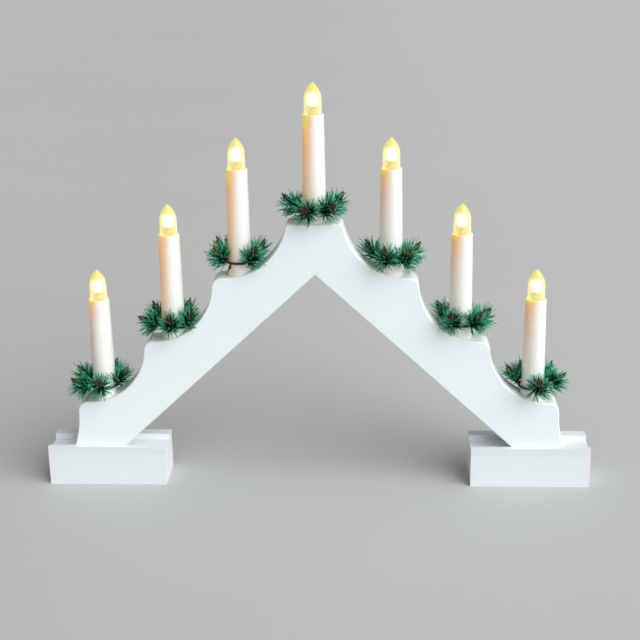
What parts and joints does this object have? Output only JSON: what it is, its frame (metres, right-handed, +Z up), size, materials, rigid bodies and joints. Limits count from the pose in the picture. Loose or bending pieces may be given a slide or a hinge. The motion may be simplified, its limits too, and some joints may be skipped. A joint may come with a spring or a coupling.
{
  "type": "candle arch",
  "caption": "White wooden stepped arch on two blocks with lit electric candles, each in a ring of fir needles; battery case behind.",
  "frame": {"origin": "On the ground, midway between the feet, in the middle plane of the boards.", "axes": "X to the right along the arch, Y from the front to the back, Z up."},
  "size_m": [0.4, 0.052, 0.2961],
  "materials": {
    "painted_wood": "satin white paint",
    "painted_strip": "satin white paint",
    "bare_beech": "bare",
    "zinc_screw": "zinc plated",
    "candle_plastic": "smooth ivory white",
    "socket_plastic": "moulded",
    "lamp_glass": "clear",
    "cap_brass": "pressed",
    "led_light": "lit",
    "needle_plastic": "cut film",
    "cone_brown": "dry",
    "case_plastic": "moulded",
    "switch_plastic": "moulded",
    "cell_jacket": "plain jacket",
    "contact_steel": "plated",
    "wire_insulation": "smooth"
  },
  "bodies": {
    "arch": {"left_arm": "painted_wood", "right_arm": "painted_wood", "apex_dowels": "bare_beech", "left_foot": "painted_wood", "right_foot": "painted_wood", "foot_screws": "zinc_screw", "left_back_strip": "painted_strip", "right_back_strip": "painted_strip", "candle_sleeve_1": "candle_plastic", "candle_sleeve_2": "candle_plastic", "candle_sleeve_3": "candle_plastic", "candle_sleeve_4": "candle_plastic", "candle_sleeve_5": "candle_plastic", "candle_sleeve_6": "candle_plastic", "candle_sleeve_7": "candle_plastic", "lamp_sockets": "socket_plastic", "candle_wreath_1": "needle_plastic", "candle_wreath_2": "needle_plastic", "candle_wreath_3": "needle_plastic", "candle_wreath_4": "needle_plastic", "candle_wreath_5": "needle_plastic", "candle_wreath_6": "needle_plastic", "candle_wreath_7": "needle_plastic", "pine_cones": "cone_brown", "battery_case": "case_plastic", "battery_cells": "cell_jacket", "battery_contacts": "contact_steel", "case_screws": "zinc_screw", "wiring_left": "wire_insulation", "wiring_centre": "wire_insulation", "wiring_right": "wire_insulation"},
    "lamp_1": {"lamp_glass_1": "lamp_glass", "lamp_cap_1": "cap_brass", "lamp_led_1": "led_light"},
    "lamp_2": {"lamp_glass_2": "lamp_glass", "lamp_cap_2": "cap_brass", "lamp_led_2": "led_light"},
    "lamp_3": {"lamp_glass_3": "lamp_glass", "lamp_cap_3": "cap_brass", "lamp_led_3": "led_light"},
    "lamp_4": {"lamp_glass_4": "lamp_glass", "lamp_cap_4": "cap_brass", "lamp_led_4": "led_light"},
    "lamp_5": {"lamp_glass_5": "lamp_glass", "lamp_cap_5": "cap_brass", "lamp_led_5": "led_light"},
    "lamp_6": {"lamp_glass_6": "lamp_glass", "lamp_cap_6": "cap_brass", "lamp_led_6": "led_light"},
    "lamp_7": {"lamp_glass_7": "lamp_glass", "lamp_cap_7": "cap_brass", "lamp_led_7": "led_light"},
    "lid": {"battery_lid": "case_plastic"},
    "switch": {"switch_slider": "switch_plastic"}
  },
  "joints": [
    {"name": "lamp_1_turn", "type": "hinge", "parent": "arch", "child": "lamp_1", "pos_m": [-0.15721, 0, 0.14132], "axis": [0, 0, 1], "range_deg": [0, 1080]},
    {"name": "lamp_2_turn", "type": "hinge", "parent": "arch", "child": "lamp_2", "pos_m": [-0.1037, 0, 0.18949], "axis": [0, 0, 1], "range_deg": [0, 1080]},
    {"name": "lamp_3_turn", "type": "hinge", "parent": "arch", "child": "lamp_3", "pos_m": [-0.05383, 0, 0.23646], "axis": [0, 0, 1], "range_deg": [0, 1080]},
    {"name": "lamp_4_turn", "type": "hinge", "parent": "arch", "child": "lamp_4", "pos_m": [0, 0, 0.2744], "axis": [0, 0, 1], "range_deg": [0, 1080]},
    {"name": "lamp_5_turn", "type": "hinge", "parent": "arch", "child": "lamp_5", "pos_m": [0.05383, 0, 0.23646], "axis": [0, 0, 1], "range_deg": [0, 1080]},
    {"name": "lamp_6_turn", "type": "hinge", "parent": "arch", "child": "lamp_6", "pos_m": [0.1037, 0, 0.18949], "axis": [0, 0, 1], "range_deg": [0, 1080]},
    {"name": "lamp_7_turn", "type": "hinge", "parent": "arch", "child": "lamp_7", "pos_m": [0.15721, 0, 0.14132], "axis": [0, 0, 1], "range_deg": [0, 1080]},
    {"name": "battery_lid_slide", "type": "slide", "parent": "arch", "child": "lid", "axis": [-0.7331, 0, 0.6801], "range_m": [0, 0.053]},
    {"name": "switch_slide", "type": "slide", "parent": "arch", "child": "switch", "axis": [0.7331, 0, -0.6801], "range_m": [0, 0.003]}
  ]
}
